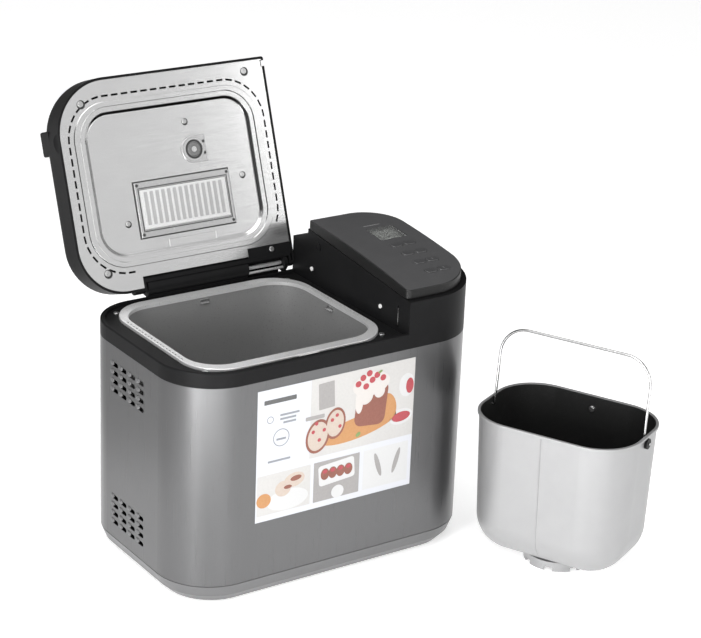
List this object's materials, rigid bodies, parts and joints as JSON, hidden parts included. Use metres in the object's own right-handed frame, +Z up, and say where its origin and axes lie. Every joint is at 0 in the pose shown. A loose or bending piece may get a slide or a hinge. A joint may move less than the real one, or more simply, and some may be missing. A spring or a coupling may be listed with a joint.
{
  "type": "bread machine",
  "caption": "Countertop bread machine with an open hinged lid, a rear-right control tower, an ingredient dispenser in the lid and its bread pan standing beside it.",
  "frame": {"origin": "the middle of the whole set's footprint, on the table it stands on", "axes": "+Z up, +X towards the machine's control side, -Y towards its front; the pan stands in front of the control side"},
  "size_m": [0.5628, 0.562, 0.5474],
  "materials": {
    "graphite_steel": "satin graphite enamel",
    "base_plastic": "fine satin grey moulding",
    "black_plastic": "fine-grained satin black",
    "panel_black": "brushed dark film",
    "rubber": "matt",
    "plate_steel": "satin sheet",
    "rim_steel": "bright sheet",
    "chamber_coating": "dark grey non-stick",
    "screw_steel": "zinc",
    "dispenser_white": "smooth near-white",
    "dispenser_grey": "smooth light grey",
    "heater_sheath": "heat-darkened steel",
    "galvanised": "galvanised sheet",
    "pan_aluminium": "fine matt aluminium",
    "nonstick": "black non-stick coating",
    "bail_steel": "bright wire",
    "clip_plastic": "black heat-proof plastic",
    "label_film": "printed film",
    "lens": "smoked clear plastic",
    "lcd": "grey-green display",
    "white_plastic": "white moulding",
    "button_plastic": "satin dark grey",
    "board": "green laminate",
    "belt": "matt",
    "pulley_plastic": "glass-filled nylon",
    "motor_steel": "zinc-plated can",
    "bronze": "sintered bronze"
  },
  "bodies": {
    "machine": {"base_pan": "base_plastic", "feet": "rubber", "body_shell": "graphite_steel", "top_housing": "black_plastic", "hinge_pins": "screw_steel", "machine_screws": "screw_steel", "lid_buffers": "white_plastic", "front_label": "label_film", "cord_gland": "black_plastic", "chamber": "chamber_coating", "chamber_rim": "rim_steel", "chamber_clips": "screw_steel", "temperature_sensor": "screw_steel", "heater_element": "heater_sheath", "heat_shield": "galvanised", "chassis": "galvanised", "shaft_bearing": "bronze", "drive_belt": "belt", "motor_body": "motor_steel", "power_board": "board", "control_panel": "panel_black", "display_lens": "lens", "lcd_module": "lcd", "status_light": "white_plastic", "control_board": "board"},
    "lid": {"lid_shell": "black_plastic", "lid_inner_plate": "plate_steel", "lid_screws": "screw_steel", "lid_grip": "black_plastic", "lid_hinge_cover": "black_plastic", "lid_pins": "screw_steel", "flap_frame": "dispenser_grey", "dispenser_hopper": "black_plastic", "yeast_housing": "dispenser_grey", "valve_solenoid": "motor_steel"},
    "hatch": {"dispenser_hatch": "black_plastic"},
    "flap": {"nut_flap": "dispenser_white"},
    "valve": {"yeast_valve": "black_plastic"},
    "pan": {"pan_body": "pan_aluminium", "nonstick_lining": "nonstick", "bail_clips": "clip_plastic", "pan_pedestal": "pan_aluminium", "pan_fittings": "screw_steel"},
    "bail": {"pan_bail": "bail_steel"},
    "kneader": {"pan_coupling": "screw_steel", "kneading_blade": "nonstick"},
    "drive": {"drive_shaft": "screw_steel", "drive_coupling": "screw_steel", "large_pulley": "pulley_plastic"},
    "rotor": {"motor_rotor": "screw_steel", "small_pulley": "pulley_plastic"},
    "button_1": {"button_1": "button_plastic"},
    "button_2": {"button_2": "button_plastic"},
    "button_3": {"button_3": "button_plastic"},
    "button_4": {"button_4": "button_plastic"},
    "button_5": {"button_5": "button_plastic"},
    "button_6": {"button_6": "button_plastic"},
    "button_7": {"button_7": "button_plastic"},
    "button_8": {"button_8": "button_plastic"}
  },
  "joints": [
    {"name": "lid_hinge", "type": "hinge", "parent": "machine", "child": "lid", "pos_m": [-0.09738, 0.16985, 0.3043], "axis": [1, 0, 0], "range_deg": [0, 109.65]},
    {"name": "hatch_hinge", "type": "hinge", "parent": "lid", "child": "hatch", "pos_m": [-0.12738, 0.21625, 0.34667], "axis": [-1, 0, 0], "range_deg": [0, 80]},
    {"name": "flap_hinge", "type": "hinge", "parent": "lid", "child": "flap", "pos_m": [-0.12738, 0.18705, 0.37238], "axis": [1, 0, 0], "range_deg": [0, 60]},
    {"name": "valve_slide", "type": "slide", "parent": "lid", "child": "valve", "axis": [0, -0.9418, 0.3363], "range_m": [0, 0.006], "stiffness_N_per_m": 150},
    {"name": "pan_lift", "type": "slide", "parent": "machine", "child": "pan", "axis": [0, 0, 1], "range_m": [0, 0.3]},
    {"name": "bail_swing", "type": "hinge", "parent": "pan", "child": "bail", "pos_m": [0.18752, -0.17345, 0.1784], "axis": [0.4305, -0.9026, 0], "range_deg": [-58.5, 71.5]},
    {"name": "kneader_spin", "type": "hinge", "parent": "pan", "child": "kneader", "pos_m": [0.18752, -0.17345, 0.03], "axis": [0, 0, 1], "continuous": true},
    {"name": "drive_spin", "type": "hinge", "parent": "machine", "child": "drive", "pos_m": [-0.12888, 0.04155, 0.06], "axis": [0, 0, 1], "continuous": true},
    {"name": "rotor_spin", "type": "hinge", "parent": "machine", "child": "rotor", "pos_m": [0.05712, 0.04155, 0.06], "axis": [0, 0, 1], "continuous": true},
    {"name": "button_1_press", "type": "slide", "parent": "machine", "child": "button_1", "axis": [0, 0.1054, -0.9944], "range_m": [0, 0.001], "stiffness_N_per_m": 300},
    {"name": "button_2_press", "type": "slide", "parent": "machine", "child": "button_2", "axis": [0, 0.1054, -0.9944], "range_m": [0, 0.001], "stiffness_N_per_m": 300},
    {"name": "button_3_press", "type": "slide", "parent": "machine", "child": "button_3", "axis": [0, 0.1054, -0.9944], "range_m": [0, 0.001], "stiffness_N_per_m": 300},
    {"name": "button_4_press", "type": "slide", "parent": "machine", "child": "button_4", "axis": [0, 0.1054, -0.9944], "range_m": [0, 0.001], "stiffness_N_per_m": 300},
    {"name": "button_5_press", "type": "slide", "parent": "machine", "child": "button_5", "axis": [0, 0.1054, -0.9944], "range_m": [0, 0.001], "stiffness_N_per_m": 300},
    {"name": "button_6_press", "type": "slide", "parent": "machine", "child": "button_6", "axis": [0, 0.1054, -0.9944], "range_m": [0, 0.001], "stiffness_N_per_m": 300},
    {"name": "button_7_press", "type": "slide", "parent": "machine", "child": "button_7", "axis": [0, 0.1054, -0.9944], "range_m": [0, 0.001], "stiffness_N_per_m": 300},
    {"name": "button_8_press", "type": "slide", "parent": "machine", "child": "button_8", "axis": [0, 0.1054, -0.9944], "range_m": [0, 0.001], "stiffness_N_per_m": 300}
  ],
  "couplings": [
    {"joint": "rotor_spin", "follows": "drive_spin", "ratio": 4.7273}
  ]
}
